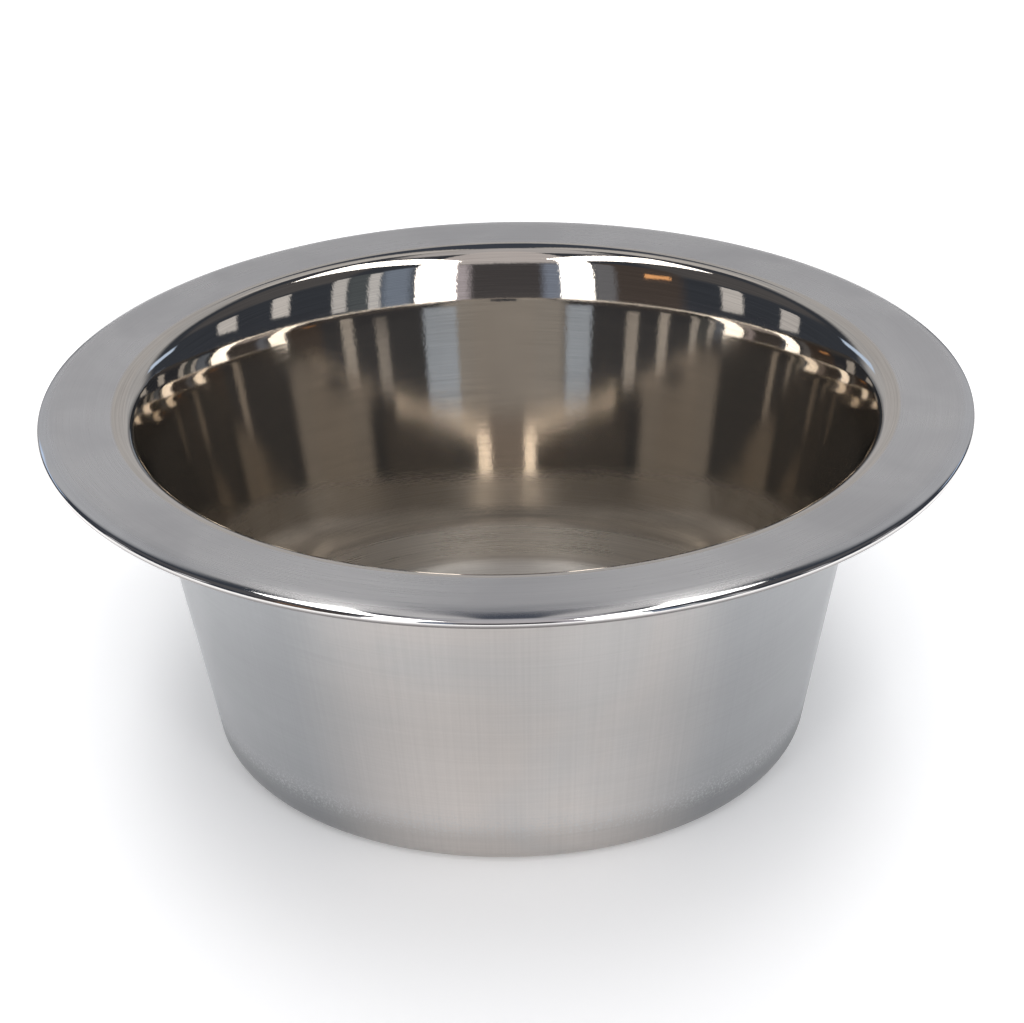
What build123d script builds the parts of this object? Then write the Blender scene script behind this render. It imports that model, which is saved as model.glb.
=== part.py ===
"""Stainless feeding bowl, deep drawn in one piece from a round blank of sheet.

Millimetres, +Z up. The origin is the centre of the underside, on the surface the bowl stands on.
The sheet's two faces follow the same line at two depths: depth zero is the drawn face, which looks
up on the flange and into the cup, and the other face lies one sheet thickness behind it.
"""
import os
from math import radians, sin

from build123d import *

# Driving sizes
height = 94.0           # underside of the bottom to the top of the flange
opening_d = 202.0       # inner edge of the flat flange, where the shoulder begins
flange_width = 19.0     # from that edge to the outermost point of the curl
sheet = 0.7             # thickness of the steel
shoulder_r = 6.5        # drawn face, where the flange turns down into the cup
flare_r = 44.0          # drawn face, the gentle curve from the shoulder into the wall
corner_r = 7.0          # outside, between wall and bottom
edge_roll_r = 13.0      # drawn face, where the flange begins to droop towards its edge
curl_bore = 1.0         # hollow inside the curled edge

# Driving angles, in degrees
wall_draft = 10.7       # lean of the wall from upright
shoulder_turn = 63.0    # slope that the shoulder reaches before the flare takes over
edge_roll_turn = 25.0   # droop that the flange reaches before the curl takes over
curl_turn = 300.0       # how far the edge is rolled in all: out, down, under and up again

# Sizes that follow
opening_r = opening_d / 2
curl_r = curl_bore / 2 + sheet
droop = sin(radians(edge_roll_turn))
edge_reach = edge_roll_r * droop + curl_r * (1 - droop)
flat_end_x = opening_r + flange_width - edge_reach
flare_turn = 90.0 - wall_draft - shoulder_turn
corner_turn = 90.0 - wall_draft


def sheet_face(depth):
    """Draw one face of the sheet from its raw edge to the axis and return its two end points."""
    flange = Line((flat_end_x, height - depth), (opening_r, height - depth))
    shoulder = JernArc(flange @ 1, flange % 1, shoulder_r - depth, shoulder_turn)
    flare = JernArc(shoulder @ 1, shoulder % 1, flare_r - depth, flare_turn)

    # The wall runs straight until the corner's arc can land level on the bottom.
    bottom_z = sheet - depth
    corner_face_r = corner_r - bottom_z
    lean = flare % 1
    corner_drop = corner_face_r * (1 + lean.X)
    wall_length = ((flare @ 1).Y - bottom_z - corner_drop) / -lean.Y
    wall = Line(flare @ 1, flare @ 1 + lean * wall_length)
    corner = JernArc(wall @ 1, lean, corner_face_r, -corner_turn)
    bottom = Line(corner @ 1, (0, bottom_z))

    # Outwards, the flange droops a little and its raw edge is rolled under it.
    edge_roll = JernArc(flange @ 0, (1, 0), edge_roll_r - depth, -edge_roll_turn)
    curl = JernArc(edge_roll @ 1, edge_roll % 1, curl_r - depth, edge_roll_turn - curl_turn)
    return curl @ 1, bottom @ 1


with BuildPart() as bowl:
    with BuildSketch(Plane.XZ):
        with BuildLine():
            drawn_edge, drawn_centre = sheet_face(0)
            outer_edge, outer_centre = sheet_face(sheet)
            Line(drawn_edge, outer_edge)
            Line(drawn_centre, outer_centre)
        make_face()
    revolve(axis=Axis.Z)

bowl.part.label = "bowl"

os.makedirs("parts", exist_ok=True)
export_step(bowl.part, "parts/bowl.step")

print(f"bowl: volume {bowl.part.volume:.0f} mm3, size {bowl.part.bounding_box().size}")
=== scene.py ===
import math

import bpy
from mathutils import Euler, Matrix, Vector


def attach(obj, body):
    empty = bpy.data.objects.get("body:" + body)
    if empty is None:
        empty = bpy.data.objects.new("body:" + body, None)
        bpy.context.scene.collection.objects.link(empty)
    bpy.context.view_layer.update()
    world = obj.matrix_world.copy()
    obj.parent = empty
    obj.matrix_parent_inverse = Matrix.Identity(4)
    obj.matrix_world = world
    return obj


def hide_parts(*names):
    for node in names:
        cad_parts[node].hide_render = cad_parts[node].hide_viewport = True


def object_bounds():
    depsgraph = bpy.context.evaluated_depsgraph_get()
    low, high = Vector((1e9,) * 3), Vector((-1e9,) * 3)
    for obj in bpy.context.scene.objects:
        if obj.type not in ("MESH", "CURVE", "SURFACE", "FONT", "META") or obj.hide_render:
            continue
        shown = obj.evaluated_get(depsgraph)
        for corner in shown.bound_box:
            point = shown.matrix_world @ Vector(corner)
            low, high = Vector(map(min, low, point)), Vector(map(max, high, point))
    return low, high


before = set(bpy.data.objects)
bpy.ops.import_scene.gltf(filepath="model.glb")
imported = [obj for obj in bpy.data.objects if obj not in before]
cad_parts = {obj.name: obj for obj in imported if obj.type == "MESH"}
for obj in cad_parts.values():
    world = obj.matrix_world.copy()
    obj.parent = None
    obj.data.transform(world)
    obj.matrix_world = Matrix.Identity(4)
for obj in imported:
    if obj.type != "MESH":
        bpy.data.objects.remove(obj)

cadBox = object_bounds()
rimRadius = cadBox[1].x
rimHeight = cadBox[1].z
print("frame loaded, rim radius", round(rimRadius, 4), "height", round(rimHeight, 4))


# Small helpers for nodes

def addNode(tree, kind, **settings):
    node = tree.nodes.new(kind)
    for name, value in settings.items():
        setattr(node, name, value)
    return node


def feed(tree, socket, value):
    # a number or colour is typed in, a socket is wired up
    if isinstance(value, bpy.types.NodeSocket):
        tree.links.new(value, socket)
    else:
        socket.default_value = value


def calc(tree, operation, *values):
    node = addNode(tree, "ShaderNodeMath", operation=operation)
    for socket, value in zip(node.inputs, values):
        feed(tree, socket, value)
    return node.outputs["Value"]


def blendValue(tree, mask, low, high):
    node = addNode(tree, "ShaderNodeMix", data_type="FLOAT")
    feed(tree, node.inputs[0], mask)
    feed(tree, node.inputs[2], low)
    feed(tree, node.inputs[3], high)
    return node.outputs[0]


def blendColour(tree, mask, low, high):
    node = addNode(tree, "ShaderNodeMix", data_type="RGBA")
    feed(tree, node.inputs[0], mask)
    feed(tree, node.inputs[6], low)
    feed(tree, node.inputs[7], high)
    return node.outputs[2]


def ramp(tree, value, start, end, low=0.0, high=1.0):
    # eases from low to high while value goes from start to end
    node = addNode(tree, "ShaderNodeMapRange", interpolation_type="SMOOTHSTEP")
    feed(tree, node.inputs["Value"], value)
    node.inputs["From Min"].default_value = start
    node.inputs["From Max"].default_value = end
    node.inputs["To Min"].default_value = low
    node.inputs["To Max"].default_value = high
    return node.outputs["Result"]


def swing(tree, pattern, low, high):
    # goes from low to high as a pattern goes from 0 to 1
    return calc(tree, "MULTIPLY_ADD", pattern, high - low, low)


def objectPlace(tree):
    # x, y and z of a point of the piece
    coords = addNode(tree, "ShaderNodeTexCoord")
    split = addNode(tree, "ShaderNodeSeparateXYZ")
    tree.links.new(coords.outputs["Object"], split.inputs[0])
    return split.outputs


def noise(tree, vector, scale, detail, rough=0.5, distortion=0.0):
    node = addNode(tree, "ShaderNodeTexNoise")
    tree.links.new(vector, node.inputs["Vector"])
    feed(tree, node.inputs["Scale"], scale)
    node.inputs["Detail"].default_value = detail
    node.inputs["Roughness"].default_value = rough
    node.inputs["Distortion"].default_value = distortion
    return node.outputs["Fac"]


def startGroup(name, inputs, outputs):
    tree = bpy.data.node_groups.new(name, "ShaderNodeTree")
    for socketName, value in inputs.items():
        socket = tree.interface.new_socket(socketName, in_out="INPUT", socket_type="NodeSocketFloat")
        socket.default_value = value
    for socketName in outputs:
        tree.interface.new_socket(socketName, in_out="OUTPUT", socket_type="NodeSocketFloat")
    return tree, addNode(tree, "NodeGroupInput"), addNode(tree, "NodeGroupOutput")


def useGroup(tree, group, **values):
    node = addNode(tree, "ShaderNodeGroup", node_tree=group)
    for name, value in values.items():
        feed(tree, node.inputs[name], value)
    return node


# Finish effects that both faces of the sheet share

def ringCoordsGroup():
    # radius and height of a point, the way along the sheet from the centre of the floor to the rim,
    # and how squarely the point lies to the front or back, from 0 at the sides to 1
    tree, _, out = startGroup("ringCoords", {}, ["radius", "height", "along", "ahead"])
    place = objectPlace(tree)
    xx = calc(tree, "MULTIPLY", place["X"], place["X"])
    yy = calc(tree, "MULTIPLY", place["Y"], place["Y"])
    radius = calc(tree, "SQRT", calc(tree, "ADD", xx, yy))
    ahead = calc(tree, "DIVIDE", calc(tree, "ABSOLUTE", place["Y"]), radius)
    tree.links.new(radius, out.inputs["radius"])
    tree.links.new(place["Z"], out.inputs["height"])
    tree.links.new(calc(tree, "ADD", radius, place["Z"]), out.inputs["along"])
    tree.links.new(ahead, out.inputs["ahead"])
    return tree


def spunLinesGroup(ringCoords):
    # fine lines that run round the bowl, left by polishing it on a spindle
    tree, given, out = startGroup("spunLines", {"density": 2500.0, "runs": 30.0}, ["value"])
    place = objectPlace(tree)
    ring = useGroup(tree, ringCoords)
    join = addNode(tree, "ShaderNodeCombineXYZ")
    for axis in ("X", "Y"):
        feed(tree, join.inputs[axis], calc(tree, "MULTIPLY", place[axis], given.outputs["runs"]))
    feed(tree, join.inputs["Z"], calc(tree, "MULTIPLY", ring.outputs["along"], given.outputs["density"]))
    lines = noise(tree, join.outputs[0], scale=1.0, detail=3.0, rough=0.6)
    tree.links.new(lines, out.inputs["value"])
    return tree


def drawStreaksGroup(ringCoords):
    # faint streaks up and down the wall, where the sheet slid through the drawing ring
    tree, given, out = startGroup("drawStreaks", {"count": 60.0, "drift": 20.0}, ["value"])
    place = objectPlace(tree)
    ring = useGroup(tree, ringCoords)
    join = addNode(tree, "ShaderNodeCombineXYZ")
    for axis in ("X", "Y"):
        unit = calc(tree, "DIVIDE", place[axis], ring.outputs["radius"])
        feed(tree, join.inputs[axis], calc(tree, "MULTIPLY", unit, given.outputs["count"]))
    feed(tree, join.inputs["Z"], calc(tree, "MULTIPLY", ring.outputs["along"], given.outputs["drift"]))
    streaks = noise(tree, join.outputs[0], scale=1.0, detail=3.0, rough=0.55)
    tree.links.new(streaks, out.inputs["value"])
    return tree


def orangePeelGroup():
    # the pebbled skin that steel gets where it is stretched most
    tree, given, out = startGroup("orangePeel", {"grain": 900.0}, ["height"])
    coords = addNode(tree, "ShaderNodeTexCoord")
    pebbles = noise(tree, coords.outputs["Object"], given.outputs["grain"], detail=2.5)
    tree.links.new(pebbles, out.inputs["height"])
    return tree


def handMarksGroup():
    # soft cloudy patches from wiping and handling
    tree, given, out = startGroup("handMarks", {"size": 28.0}, ["mask"])
    coords = addNode(tree, "ShaderNodeTexCoord")
    clouds = noise(tree, coords.outputs["Object"], given.outputs["size"], detail=4.0, distortion=0.8)
    tree.links.new(ramp(tree, clouds, start=0.35, end=0.7), out.inputs["mask"])
    return tree


ringCoords = ringCoordsGroup()
spunLines = spunLinesGroup(ringCoords)
drawStreaks = drawStreaksGroup(ringCoords)
orangePeel = orangePeelGroup()
handMarks = handMarksGroup()
print("finish groups ready")


# The bowl: one circle, extruded and scaled ring after ring along the drawn sheet

bowlSize = {
    "flangeWidth": 0.019,       # rim to opening
    "sheet": 0.0007,
    "shoulderRadius": 0.0065,
    "shoulderTurn": 63.0,
    "flareRadius": 0.044,
    "wallDraft": 10.7,
    "cornerRadius": 0.007,      # on the outside
    "edgeRollRadius": 0.013,
    "edgeRollTurn": 25.0,
    "curlBore": 0.001,
    "curlTurn": 300.0,
    "smoothAngle": 45.0,
    "ringPoints": 256,
    "steps": {"curl": 30, "edgeRoll": 14, "shoulder": 22, "flare": 16, "wall": 10, "corner": 22},
    "flangeRings": (0.03, 0.12, 0.3, 0.5, 0.7, 0.88, 0.97, 1.0),
    "floorRings": (0.98, 0.92, 0.8, 0.65, 0.5, 0.35, 0.2, 0.08),
}


def arcPoints(start, heading, radius, turn, steps):
    # points after start on an arc in the radius and height plane; a left turn is positive
    side = math.copysign(1.0, turn)
    centre = start + side * radius * Vector((-math.sin(heading), math.cos(heading)))
    points = []
    for i in range(1, steps + 1):
        now = heading + turn * i / steps
        points.append(centre + side * radius * Vector((math.sin(now), -math.cos(now))))
    return points, heading + turn


def drawnProfile(size):
    # from the raw edge of the curl, over flange, shoulder and wall, to the centre of the floor
    steps = size["steps"]
    roll = math.radians(size["edgeRollTurn"])
    curlRadius = size["curlBore"] / 2 + size["sheet"]
    reach = size["edgeRollRadius"] * math.sin(roll) + curlRadius * (1 - math.sin(roll))
    flatEnd = Vector((rimRadius - reach, rimHeight))

    edge, heading = arcPoints(flatEnd, 0.0, size["edgeRollRadius"], -roll, steps["edgeRoll"])
    curlTurn = roll - math.radians(size["curlTurn"])
    curl, heading = arcPoints(edge[-1], heading, curlRadius, curlTurn, steps["curl"])
    points = list(reversed(edge + curl)) + [flatEnd]

    opening = Vector((rimRadius - size["flangeWidth"], rimHeight))
    points += [flatEnd.lerp(opening, share) for share in size["flangeRings"]]
    heading = math.pi           # inwards
    turn = math.radians(size["shoulderTurn"])
    shoulder, heading = arcPoints(opening, heading, size["shoulderRadius"], turn, steps["shoulder"])
    wallTurn = math.radians(90 - size["wallDraft"])
    flareTurn = wallTurn - turn
    flare, heading = arcPoints(shoulder[-1], heading, size["flareRadius"], flareTurn, steps["flare"])
    points += shoulder + flare

    cornerInside = size["cornerRadius"] - size["sheet"]
    cornerTop = size["sheet"] + cornerInside * (1 - math.cos(wallTurn))
    lean = Vector((math.cos(heading), math.sin(heading)))
    wallEnd = flare[-1] + lean * (flare[-1].y - cornerTop) / -lean.y
    points += [flare[-1].lerp(wallEnd, i / steps["wall"]) for i in range(1, steps["wall"] + 1)]
    corner, heading = arcPoints(wallEnd, heading, cornerInside, -wallTurn, steps["corner"])
    points += corner
    points += [Vector((corner[-1].x * share, size["sheet"])) for share in size["floorRings"]]
    return points


def makeBowl(size):
    profile = drawnProfile(size)
    bpy.ops.object.select_all(action="DESELECT")
    bpy.ops.mesh.primitive_circle_add(vertices=size["ringPoints"], radius=profile[0].x,
                                      location=(0, 0, 0))
    bowl = bpy.context.object
    bowl.name = bowl.data.name = "bowlShell"
    bpy.ops.object.mode_set(mode="EDIT")
    bpy.ops.mesh.select_all(action="SELECT")
    bpy.ops.transform.translate(value=(0, 0, profile[0].y))
    for last, ring in zip(profile, profile[1:]):
        bpy.ops.mesh.extrude_region_move(TRANSFORM_OT_translate={"value": (0, 0, ring.y - last.y)})
        scale = ring.x / last.x
        bpy.ops.transform.resize(value=(scale, scale, 1), center_override=(0, 0, ring.y))
    bpy.ops.mesh.extrude_region()
    bpy.ops.mesh.merge(type="CENTER")               # closes the floor in one point
    bpy.ops.mesh.select_all(action="SELECT")
    bpy.ops.mesh.normals_make_consistent(inside=False)
    bpy.ops.object.mode_set(mode="OBJECT")

    floorFace = min(bowl.data.polygons, key=lambda face: face.center.xy.length)
    if floorFace.normal.z < 0:                      # the drawn face looks up and inwards
        bpy.ops.object.mode_set(mode="EDIT")
        bpy.ops.mesh.select_all(action="SELECT")
        bpy.ops.mesh.flip_normals()
        bpy.ops.object.mode_set(mode="OBJECT")

    wall = bowl.modifiers.new("sheetThickness", "SOLIDIFY")
    wall.thickness = size["sheet"]
    wall.offset = -1.0
    wall.use_even_offset = True
    wall.material_offset = 1
    wall.material_offset_rim = 1
    bowl.data.materials.append(drawnFaceSteel())
    bowl.data.materials.append(outerFaceSteel())
    bpy.ops.object.modifier_apply(modifier=wall.name)
    bpy.ops.object.shade_smooth_by_angle(angle=math.radians(size["smoothAngle"]))
    print("bowl modelled,", len(bowl.data.polygons), "faces")
    return bowl


# Steel: the drawn face is polished inside, bright on the shoulder and edge, satin on the flange

drawnFinish = {
    "tone": (0.595, 0.548, 0.488, 1.0),
    "toneWorn": (0.565, 0.518, 0.460, 1.0),
    "cornerTone": (0.60, 0.553, 0.495, 1.0),
    # painted shade: the floor inside is made darker, dimming its reflections
    "floorShadeTone": (0.31, 0.29, 0.265, 1.0),
    "flangeTone": (0.625, 0.61, 0.595, 1.0),
    "flangeToneWorn": (0.575, 0.56, 0.55, 1.0),
    "curlShadeTone": (0.22, 0.205, 0.20, 1.0),       # painted shade underneath the curl
    "metallic": 0.962,                  # a thin haze over the polish of the wall
    "cornerMetallic": 0.86,             # more of it on the pebbled corner
    "wallRough": 0.055,
    "shoulderRough": 0.045,
    "flangeRough": 0.30,
    "edgeRough": 0.06,
    "cornerRough": 0.30,
    "floorRough": 0.50,
    "anisotropy": 0.75,
    "flangeStart": (0.1005, 0.1014),    # radius where the bright shoulder gives way to satin
    "edgeStart": (0.1160, 0.1193),      # radius where satin gives way to the bright rolled edge
    "curlShadeEnd": (0.0911, 0.0921),        # height where the painted shade on the curl's underside gives way to its top
    "shoulderStart": (0.074, 0.086),    # height where the hazy wall gives way to the bright shoulder
    "floorEnd": (0.0025, 0.0075),       # height where the rougher floor, darkened by painted shade, gives way to the corner
    "cornerEnd": (0.0140, 0.0185),      # height where the pebbled corner gives way to the wall
    "lines": {"density": 3600.0, "runs": 34.0},
    "lineDepth": 1.6e-6,
    "lineRough": (0.75, 1.25),          # what the spun lines do to the roughness
    "scratches": 0.28,                  # share of the tone that the spun lines take or give
    "flangeScratches": (0.3, 0.7),      # on the flange only the middle of that
    "marksSize": 30.0,
    "marksRough": (0.92, 1.10),         # what the hand marks do to the roughness
    "peelGrain": 950.0,
    "peelDepth": 3.0e-5,
    "wallPeel": 0.20,                   # share of the corner's pebbling left on the wall
}


def startSteel(name, finish):
    material = bpy.data.materials.new(name)
    material.use_nodes = True
    tree = material.node_tree
    shader = tree.nodes["Principled BSDF"]
    tangent = addNode(tree, "ShaderNodeTangent", direction_type="RADIAL", axis="Z")
    tree.links.new(tangent.outputs["Tangent"], shader.inputs["Tangent"])
    shader.inputs["Anisotropic Rotation"].default_value = 0.25      # a quarter turn: light spreads upright
    shader.inputs["Anisotropic"].default_value = finish["anisotropy"]
    shader.inputs["Metallic"].default_value = finish["metallic"]
    return material, tree, shader


def addBump(tree, height, depth, normal=None):
    bump = addNode(tree, "ShaderNodeBump")
    bump.inputs["Distance"].default_value = depth
    feed(tree, bump.inputs["Height"], height)
    if normal is not None:
        tree.links.new(normal, bump.inputs["Normal"])
    return bump.outputs["Normal"]


def shadeColour(tree, pattern, share, colour):
    # darkens and lightens a colour by a share of itself, as a pattern goes from 0 to 1
    node = addNode(tree, "ShaderNodeVectorMath", operation="SCALE")
    tree.links.new(colour, node.inputs[0])
    feed(tree, node.inputs["Scale"], swing(tree, pattern, 1 - share, 1 + share))
    return node.outputs["Vector"]


def drawnFaceSteel():
    finish = drawnFinish
    material, tree, shader = startSteel("drawnFaceSteel", finish)
    ring = useGroup(tree, ringCoords)
    flange = ramp(tree, ring.outputs["radius"], *finish["flangeStart"])
    edge = ramp(tree, ring.outputs["radius"], *finish["edgeStart"])
    shoulder = ramp(tree, ring.outputs["height"], *finish["shoulderStart"])
    corner = ramp(tree, ring.outputs["height"], *finish["cornerEnd"], 1.0, 0.0)
    floor = ramp(tree, ring.outputs["height"], *finish["floorEnd"], 1.0, 0.0)
    curl = ramp(tree, ring.outputs["height"], *finish["curlShadeEnd"], 1.0, 0.0)
    lines = useGroup(tree, spunLines, **finish["lines"]).outputs["value"]
    marks = useGroup(tree, handMarks, size=finish["marksSize"]).outputs["mask"]
    peel = useGroup(tree, orangePeel, grain=finish["peelGrain"]).outputs["height"]

    rough = blendValue(tree, corner, finish["wallRough"], finish["cornerRough"])
    rough = blendValue(tree, floor, rough, finish["floorRough"])
    rough = blendValue(tree, shoulder, rough, finish["shoulderRough"])
    rough = blendValue(tree, flange, rough, finish["flangeRough"])
    rough = blendValue(tree, edge, rough, finish["edgeRough"])
    lineShare = swing(tree, lines, *finish["lineRough"])
    markShare = swing(tree, marks, *finish["marksRough"])
    rough = calc(tree, "MULTIPLY", rough, calc(tree, "MULTIPLY", lineShare, markShare))
    tree.links.new(rough, shader.inputs["Roughness"])

    hazy = blendValue(tree, corner, finish["metallic"], finish["cornerMetallic"])
    tree.links.new(blendValue(tree, shoulder, hazy, 1.0), shader.inputs["Metallic"])

    inner = blendColour(tree, marks, finish["tone"], finish["toneWorn"])
    inner = blendColour(tree, corner, inner, finish["cornerTone"])
    # painted shade on the floor inside
    inner = blendColour(tree, floor, inner, finish["floorShadeTone"])
    outer = blendColour(tree, marks, finish["flangeTone"], finish["flangeToneWorn"])
    # painted shade on the curl's underside
    outer = blendColour(tree, curl, outer, finish["curlShadeTone"])
    steel = blendColour(tree, flange, inner, outer)
    scratches = blendValue(tree, flange, lines, swing(tree, lines, *finish["flangeScratches"]))
    steel = shadeColour(tree, scratches, finish["scratches"], steel)
    tree.links.new(steel, shader.inputs["Base Color"])

    bright = calc(tree, "MAXIMUM", edge, calc(tree, "SUBTRACT", shoulder, flange))
    lineHeight = calc(tree, "MULTIPLY", lines, calc(tree, "SUBTRACT", 1.0, bright))
    normal = addBump(tree, lineHeight, finish["lineDepth"])
    pebbled = calc(tree, "MAXIMUM", corner, calc(tree, "SUBTRACT", finish["wallPeel"], flange))
    normal = addBump(tree, calc(tree, "MULTIPLY", peel, pebbled), finish["peelDepth"], normal)
    tree.links.new(normal, shader.inputs["Normal"])
    return material


# Outside the sheet keeps the satin of the press, with faint streaks from drawing; its colour also holds
# painted shade, painted light and painted glints

outerFinish = {
    "tone": (0.52, 0.488, 0.464, 1.0),
    "toneWorn": (0.482, 0.467, 0.455, 1.0),
    # painted shade: the wall's colour darkens away from the front and back, in place of darker reflections
    # at the sides
    "quarterShadeTone": (0.315, 0.320, 0.328, 1.0),  # between the front or back and the sides
    "sideShadeTone": (0.37, 0.378, 0.388, 1.0),
    "quarterShadeStart": (1.015, 0.755),             # how squarely to the front or back these painted shade tones take over
    "sideShadeStart": (0.385, 0.195),
    "baseEdge": (0.066, 0.0715),                # radius inside which the underside is even
    "paintedGlintTone": (0.56, 0.57, 0.575, 1.0),      # painted glints on the grains above the corner and at the sides
    "paintedGlintStart": (0.45, 0.75),
    "paintedLiftStart": (0.050, 0.008),                 # height below which the wall is lightened by painted light
    "paintedLiftShare": 0.30,
    "cornerShadeShare": 0.9,                         # how much of that painted light the corner loses again, leaving painted shade on it
    "metallic": 1.0,
    "wallRough": 0.38,
    "cornerRough": 0.42,
    "anisotropy": 0.7,
    "cornerEnd": (0.008, 0.015),
    "bandStart": (0.0070, 0.0115),              # height where the coarser grain above the corner begins
    "bandEnd": (0.0115, 0.0190),
    "drawing": {"count": 160.0, "drift": 16.0},
    "streaks": 0.08,                            # share of the tone that the drawing streaks take or give
    "streakRough": (0.88, 1.12),
    "lines": {"density": 1800.0, "runs": 30.0},
    "scratches": 0.07,
    "marksSize": 22.0,
    "marksRough": (0.92, 1.08),
    "peelGrain": 1900.0,
    "peelDepth": 8e-6,
    "cornerPeel": 0.3,                          # share of the band's pebbling that the corner has
}


def outerFaceSteel():
    finish = outerFinish
    material, tree, shader = startSteel("outerFaceSteel", finish)
    ring = useGroup(tree, ringCoords)
    corner = ramp(tree, ring.outputs["height"], *finish["cornerEnd"], 1.0, 0.0)
    bandLow = ramp(tree, ring.outputs["height"], *finish["bandStart"])
    bandHigh = ramp(tree, ring.outputs["height"], *finish["bandEnd"], 1.0, 0.0)
    band = calc(tree, "MULTIPLY", bandLow, bandHigh)
    cup = ramp(tree, ring.outputs["radius"], *finish["baseEdge"])
    # masks for the painted shade towards the sides, in the bowl's own frame
    quarter = calc(tree, "MULTIPLY", cup, ramp(tree, ring.outputs["ahead"], *finish["quarterShadeStart"]))
    side = calc(tree, "MULTIPLY", cup, ramp(tree, ring.outputs["ahead"], *finish["sideShadeStart"]))
    streaks = useGroup(tree, drawStreaks, **finish["drawing"]).outputs["value"]
    lines = useGroup(tree, spunLines, **finish["lines"]).outputs["value"]
    marks = useGroup(tree, handMarks, size=finish["marksSize"]).outputs["mask"]
    peel = useGroup(tree, orangePeel, grain=finish["peelGrain"]).outputs["height"]

    rough = blendValue(tree, corner, finish["wallRough"], finish["cornerRough"])
    streakShare = swing(tree, streaks, *finish["streakRough"])
    markShare = swing(tree, marks, *finish["marksRough"])
    rough = calc(tree, "MULTIPLY", rough, calc(tree, "MULTIPLY", streakShare, markShare))
    tree.links.new(rough, shader.inputs["Roughness"])

    steel = blendColour(tree, marks, finish["tone"], finish["toneWorn"])
    # painted shade: darker towards the sides
    steel = blendColour(tree, quarter, steel, finish["quarterShadeTone"])
    steel = blendColour(tree, side, steel, finish["sideShadeTone"])
    # painted light on the lower wall, with less of it on the corner
    low = ramp(tree, ring.outputs["height"], *finish["paintedLiftStart"])
    low = calc(tree, "SUBTRACT", low, calc(tree, "MULTIPLY", corner, finish["cornerShadeShare"]))
    low = swing(tree, low, 0.5, 1.0)                # only lightens, from the middle up: painted light
    steel = shadeColour(tree, low, finish["paintedLiftShare"], steel)
    # painted glints: pale specks on the pebbled band and at the sides
    glintMask = ramp(tree, peel, *finish["paintedGlintStart"])
    glintMask = calc(tree, "MULTIPLY", glintMask, calc(tree, "MAXIMUM", band, side))
    steel = blendColour(tree, glintMask, steel, finish["paintedGlintTone"])
    steel = shadeColour(tree, streaks, finish["streaks"], steel)
    steel = shadeColour(tree, lines, finish["scratches"], steel)
    tree.links.new(steel, shader.inputs["Base Color"])

    pebbled = calc(tree, "MULTIPLY_ADD", corner, finish["cornerPeel"], band)
    normal = addBump(tree, calc(tree, "MULTIPLY", peel, pebbled), finish["peelDepth"])
    tree.links.new(normal, shader.inputs["Normal"])
    return material


bowlShell = makeBowl(bowlSize)
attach(bowlShell, "root")
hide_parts("bowl")


# Stage: a pale floor that fades to white, studio panels and the camera

floorLook = {
    "halfWidth": 8.0,
    "shade": 0.86,
    "whiteNear": 0.20,          # less white added close to the bowl: a painted shadow there, over the lamps' real shadow
    "whiteFar": 1.0,
    "fade": (0.10, 0.50),       # distance over which the floor turns white
    "wide": 2.2,                # the fade is this much quicker to the sides, so the painted shadow lies mostly in front
    "forward": 0.03,            # the painted shadow lies this far towards the camera
}


def makeFloor(look):
    bpy.ops.object.select_all(action="DESELECT")
    bpy.ops.mesh.primitive_plane_add(size=2 * look["halfWidth"])
    floor = bpy.context.object
    floor.name = "studioFloor"
    material = bpy.data.materials.new("floorWhite")
    material.use_nodes = True
    tree = material.node_tree
    tree.nodes.clear()
    paper = addNode(tree, "ShaderNodeBsdfDiffuse")
    paper.inputs["Color"].default_value = (look["shade"], look["shade"], look["shade"], 1.0)
    place = objectPlace(tree)
    across = calc(tree, "MULTIPLY", place["X"], look["wide"])
    deep = calc(tree, "ADD", place["Y"], look["forward"])
    deepSquare = calc(tree, "MULTIPLY", deep, deep)
    away = calc(tree, "SQRT", calc(tree, "MULTIPLY_ADD", across, across, deepSquare))
    seen = addNode(tree, "ShaderNodeLightPath")
    asSeen = calc(tree, "MAXIMUM", seen.outputs["Is Camera Ray"], seen.outputs["Is Glossy Ray"])
    asSeen = calc(tree, "MAXIMUM", asSeen, seen.outputs["Is Transmission Ray"])
    # the white fades in away from the bowl, leaving a painted shadow near it over the lamps' real one
    white = ramp(tree, away, *look["fade"], look["whiteNear"], look["whiteFar"])
    lift = addNode(tree, "ShaderNodeEmission")
    feed(tree, lift.inputs["Strength"], calc(tree, "MULTIPLY", white, asSeen))
    both = addNode(tree, "ShaderNodeAddShader")
    tree.links.new(paper.outputs[0], both.inputs[0])
    tree.links.new(lift.outputs[0], both.inputs[1])
    out = addNode(tree, "ShaderNodeOutputMaterial")
    tree.links.new(both.outputs[0], out.inputs["Surface"])
    floor.data.materials.append(material)


makeFloor(floorLook)

# bearing: degrees from the camera's side, to the right of the picture; rise: metres above the floor
standingPanels = {
    "frontLeft": {"bearing": (-31, -19.5), "rise": (0.10, 1.10), "away": 0.95, "glow": 4.0},
    "frontRight": {"bearing": (16, 30), "rise": (0.10, 1.10), "away": 0.95, "glow": 4.0},
}

# flat panels overhead, as (left, right), (front, back) and height
ceilingPanels = {
    "stripLeft": {"x": (-0.50, -0.27), "y": (-0.92, 0.32), "z": 1.10, "glow": 4.5},
    "stripRight": {"x": (0.27, 0.50), "y": (-0.92, 0.32), "z": 1.10, "glow": 4.5},
}


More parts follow.
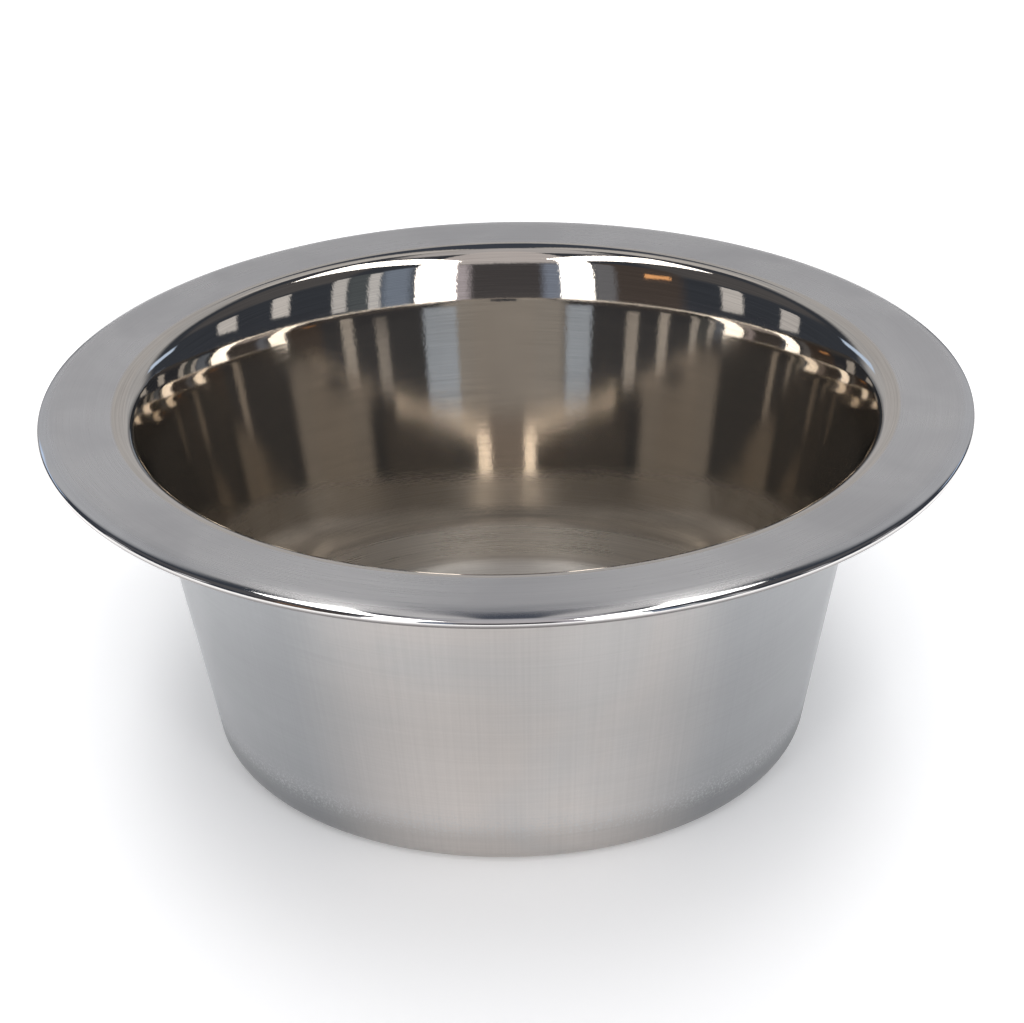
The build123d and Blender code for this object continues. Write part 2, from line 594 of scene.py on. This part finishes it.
def addPanel(name, place, facing, width, height, glow):
    # glow is the brightness of the panel's face
    bpy.ops.object.light_add(type="AREA", location=place)
    lamp = bpy.context.object
    lamp.name = name
    lamp.rotation_euler = facing
    lamp.data.shape = "RECTANGLE"
    lamp.data.size = width
    lamp.data.size_y = height
    lamp.data.energy = glow * math.pi * width * height
    lamp.visible_camera = False


for name, panel in standingPanels.items():
    start, end = (math.radians(angle) for angle in panel["bearing"])
    middle = (start + end) / 2
    low, high = panel["rise"]
    place = (panel["away"] * math.sin(middle), -panel["away"] * math.cos(middle), (low + high) / 2)
    width = 2 * panel["away"] * math.tan((end - start) / 2)
    addPanel(name, place, Euler((math.pi / 2, 0, middle)), width, high - low, panel["glow"])
for name, panel in ceilingPanels.items():
    left, right = panel["x"]
    front, back = panel["y"]
    place = ((left + right) / 2, (front + back) / 2, panel["z"])
    addPanel(name, place, Euler((0, 0, 0)), right - left, back - front, panel["glow"])
print("stage lit by", len(standingPanels) + len(ceilingPanels), "panels")

# The room around: dark, with soft patches of light by bearing and elevation in degrees, later ones over
# earlier ones; both: the patch is on the left and the right

roomDark = (0.052, 0.061, 0.080)
roomPatches = {
    "zenith": {"bearing": (-200, 200), "elevation": (76, 100), "edge": 6, "glow": (0.62, 0.62, 0.66)},
    "sideGrey": {"bearing": (55, 125), "elevation": (28, 62), "edge": 10,
                 "glow": (0.11, 0.11, 0.12), "both": True},
    "backGlow": {"bearing": (140, 185), "elevation": (4, 50), "edge": 12,
                 "glow": (0.56, 0.575, 0.61), "both": True},
    "backTop": {"bearing": (148, 170), "elevation": (48, 76), "edge": 6,
                "glow": (0.70, 0.70, 0.72), "both": True},
    "backDark": {"bearing": (172, 185), "elevation": (38, 74), "edge": 4,
                 "glow": (0.07, 0.085, 0.12), "both": True},
    "backLow": {"bearing": (160, 185), "elevation": (4, 38), "edge": 6,
                "glow": (0.57, 0.575, 0.60), "both": True},
    "backLeft": {"bearing": (-150, -129), "elevation": (15, 21), "edge": 3, "glow": (0.74, 0.93, 1.25)},
    "backRight": {"bearing": (124, 140), "elevation": (15, 21), "edge": 3, "glow": (0.74, 0.93, 1.25)},
    "centreHigh": {"bearing": (-26, 26), "elevation": (30, 86), "edge": 4, "glow": (0.68, 0.66, 0.69)},
    "centreLow": {"bearing": (-19, 17), "elevation": (-5, 30), "edge": 3, "glow": (0.085, 0.082, 0.09)},
    "centreBlue": {"bearing": (-20, -13), "elevation": (-5, 30), "edge": 4, "glow": (0.26, 0.31, 0.42)},
    "centrePale": {"bearing": (11, 17), "elevation": (-5, 30), "edge": 4, "glow": (0.56, 0.53, 0.60)},
    "leftBrown": {"bearing": (-60, -33), "elevation": (-5, 40), "edge": 6,
                  "glow": (0.090, 0.076, 0.072)},
    "blueLeft": {"bearing": (-37, -30), "elevation": (0, 34), "edge": 3, "glow": (0.20, 0.21, 0.24)},
    "blueRight": {"bearing": (30, 40), "elevation": (0, 33), "edge": 5, "glow": (0.25, 0.31, 0.42)},
    "greyRight": {"bearing": (42, 52), "elevation": (0, 33), "edge": 5, "glow": (0.11, 0.13, 0.15)},
    "slotRightA": {"bearing": (40.5, 44.5), "elevation": (3, 30), "edge": 1.5,
                   "glow": (0.74, 0.76, 0.80)},
    "slotRightB": {"bearing": (52, 57), "elevation": (5, 31), "edge": 1.5, "glow": (0.70, 0.71, 0.74)},
    "slotRightC": {"bearing": (72.5, 79), "elevation": (10, 24), "edge": 1.5, "glow": (0.8, 0.8, 0.82)},
    "slotRightD": {"bearing": (93, 101), "elevation": (9, 18), "edge": 1.5, "glow": (0.75, 0.75, 0.77)},
    "slotLeftA": {"bearing": (-82, -74), "elevation": (8, 24), "edge": 1.5, "glow": (0.74, 0.74, 0.76)},
    "slotLeftB": {"bearing": (-105, -97), "elevation": (5, 17), "edge": 1.5, "glow": (0.66, 0.66, 0.68)},
    "glint": {"bearing": (-56, -47), "elevation": (22.5, 25), "edge": 1, "glow": (1.2, 0.62, 0.28)},
}


def softMask(tree, value, span, edge):
    rise = ramp(tree, value, span[0] - edge / 2, span[0] + edge / 2)
    fall = ramp(tree, value, span[1] - edge / 2, span[1] + edge / 2, 1.0, 0.0)
    return calc(tree, "MULTIPLY", rise, fall)


def makeRoom(dark, patches):
    world = bpy.data.worlds.new("darkStudio")
    bpy.context.scene.world = world
    world.use_nodes = True
    tree = world.node_tree
    coords = addNode(tree, "ShaderNodeTexCoord")
    split = addNode(tree, "ShaderNodeSeparateXYZ")
    tree.links.new(coords.outputs["Generated"], split.inputs[0])
    toCamera = calc(tree, "MULTIPLY", split.outputs["Y"], -1.0)
    bearing = calc(tree, "DEGREES", calc(tree, "ARCTAN2", split.outputs["X"], toCamera))
    eitherSide = calc(tree, "ABSOLUTE", bearing)
    elevation = calc(tree, "DEGREES", calc(tree, "ARCSINE", split.outputs["Z"]))
    colour = (*dark, 1.0)
    for patch in patches.values():
        sideways = eitherSide if patch.get("both") else bearing
        across = softMask(tree, sideways, patch["bearing"], patch["edge"])
        upward = softMask(tree, elevation, patch["elevation"], patch["edge"])
        mask = calc(tree, "MULTIPLY", across, upward)
        colour = blendColour(tree, mask, colour, (*patch["glow"], 1.0))
    tree.links.new(colour, tree.nodes["Background"].inputs["Color"])


makeRoom(roomDark, roomPatches)
print("room has", len(roomPatches), "patches of light")

# the camera's place is measured from the centre of the rim, in rim radii
cameraView = {
    "imageWidth": 1024,
    "focalPixels": 3456.1,
    "elevation": 26.939,
    "roll": -1.156,
    "right": 0.01434,
    "up": -0.25406,
    "back": 7.4,
    "sensor": 36.0,
}


def makeCamera(view):
    tilt = math.radians(90 - view["elevation"])
    turn = Euler((tilt, 0, math.radians(view["roll"])), "ZYX").to_matrix()
    offset = turn @ Vector((view["right"], view["up"], view["back"]))
    bpy.ops.object.camera_add(location=Vector((0, 0, rimHeight)) + rimRadius * offset)
    camera = bpy.context.object
    camera.name = "studioCamera"
    camera.rotation_mode = "XYZ"
    camera.rotation_euler = turn.to_euler("XYZ")
    camera.data.sensor_width = view["sensor"]
    camera.data.lens = view["focalPixels"] / view["imageWidth"] * view["sensor"]
    bpy.context.scene.camera = camera


makeCamera(cameraView)
bpy.context.scene.view_settings.view_transform = "Standard"
print("camera placed")

bpy.context.view_layer.update()
